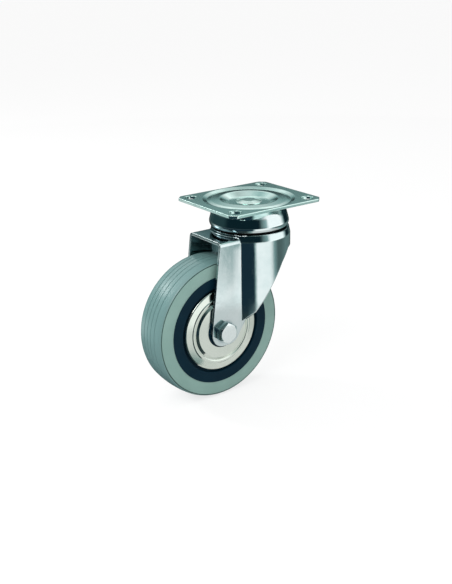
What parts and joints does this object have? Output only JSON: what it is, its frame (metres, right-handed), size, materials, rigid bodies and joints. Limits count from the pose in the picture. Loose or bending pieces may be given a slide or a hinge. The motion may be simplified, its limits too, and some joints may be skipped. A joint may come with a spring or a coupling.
{
  "type": "swivel castor",
  "caption": "Plate-mounted swivel castor: a pressed steel fork on a double ball race turns under a drilled plate and carries a rubber-tyred wheel.",
  "frame": {"origin": "centre of the plate's mounting face, on the swivel axis", "axes": "+Z out of the plate towards what it is bolted to; -X towards the trailing wheel; Y along the axle"},
  "size_m": [0.1235, 0.067, 0.135],
  "materials": {
    "plate_steel": "bright zinc plate",
    "pin_steel": "zinc plate, riveted end",
    "ball_steel": "ground, greased",
    "fastener_steel": "zinc plate",
    "disc_steel": "bright pressed, warm tint",
    "nylon": "natural nylon",
    "black_rubber": "matt",
    "rim_plastic": "satin moulded",
    "tyre_rubber": "satin moulded rubber"
  },
  "bodies": {
    "plate": {"top_plate": "plate_steel", "kingpin": "pin_steel", "bearing_cup": "plate_steel", "dust_seal": "black_rubber", "lower_race": "ball_steel"},
    "upper_bearing": {"upper_balls": "ball_steel"},
    "lower_bearing": {"lower_balls": "ball_steel"},
    "fork": {"fork": "plate_steel", "axle_bolt": "fastener_steel", "axle_nut": "fastener_steel", "nut_insert": "nylon", "axle_sleeve": "fastener_steel"},
    "roller_bearing": {"rollers": "ball_steel", "roller_cage": "nylon"},
    "wheel": {"tyre": "tyre_rubber", "wheel_rim": "rim_plastic", "hub_bush": "ball_steel", "cage_washer_near": "fastener_steel", "cage_washer_far": "fastener_steel", "cover_disc_near": "disc_steel", "cover_disc_far": "disc_steel"}
  },
  "joints": [
    {"name": "swivel", "type": "hinge", "parent": "plate", "child": "fork", "pos_m": [0, 0, 0], "axis": [0, 0, 1], "continuous": true},
    {"name": "upper_ball_ring", "type": "hinge", "parent": "plate", "child": "upper_bearing", "pos_m": [0, 0, 0], "axis": [0, 0, 1], "continuous": true},
    {"name": "lower_ball_ring", "type": "hinge", "parent": "plate", "child": "lower_bearing", "pos_m": [0, 0, 0], "axis": [0, 0, 1], "continuous": true},
    {"name": "wheel_spin", "type": "hinge", "parent": "fork", "child": "wheel", "pos_m": [-0.035, 0, -0.085], "axis": [0, 1, 0], "continuous": true},
    {"name": "roller_ring", "type": "hinge", "parent": "fork", "child": "roller_bearing", "pos_m": [-0.035, 0, -0.085], "axis": [0, 1, 0], "continuous": true}
  ],
  "couplings": [
    {"joint": "upper_ball_ring", "follows": "swivel", "ratio": 0.5},
    {"joint": "lower_ball_ring", "follows": "swivel", "ratio": 0.5},
    {"joint": "roller_ring", "follows": "wheel_spin", "ratio": 0.6}
  ]
}
